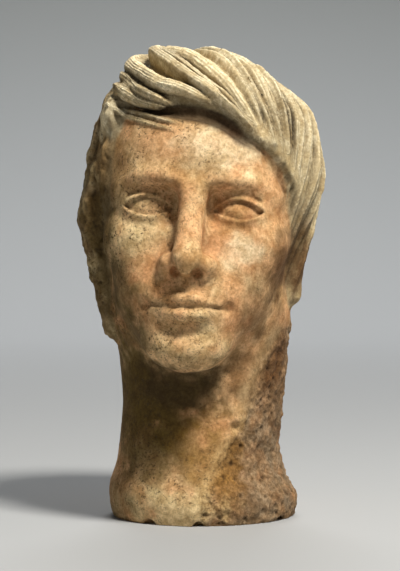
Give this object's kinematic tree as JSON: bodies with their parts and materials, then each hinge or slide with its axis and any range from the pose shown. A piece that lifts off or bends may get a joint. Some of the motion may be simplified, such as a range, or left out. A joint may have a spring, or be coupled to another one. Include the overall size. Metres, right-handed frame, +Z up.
{
  "type": "votive head",
  "caption": "Life-size votive head of a young man in mould-made fired clay, with swept locks of hair, on its own tall flared neck that is hollow and open below",
  "frame": {"origin": "on the ground under the middle of the piece's bounding box", "axes": "+Z up, the face towards -Y, +X to the right of someone who faces it"},
  "size_m": [0.1592, 0.19, 0.3032],
  "materials": {
    "terracotta": "matte, rough, unglazed fired clay"
  },
  "bodies": {
    "root": {"votive_head": "terracotta"}
  },
  "joints": []
}
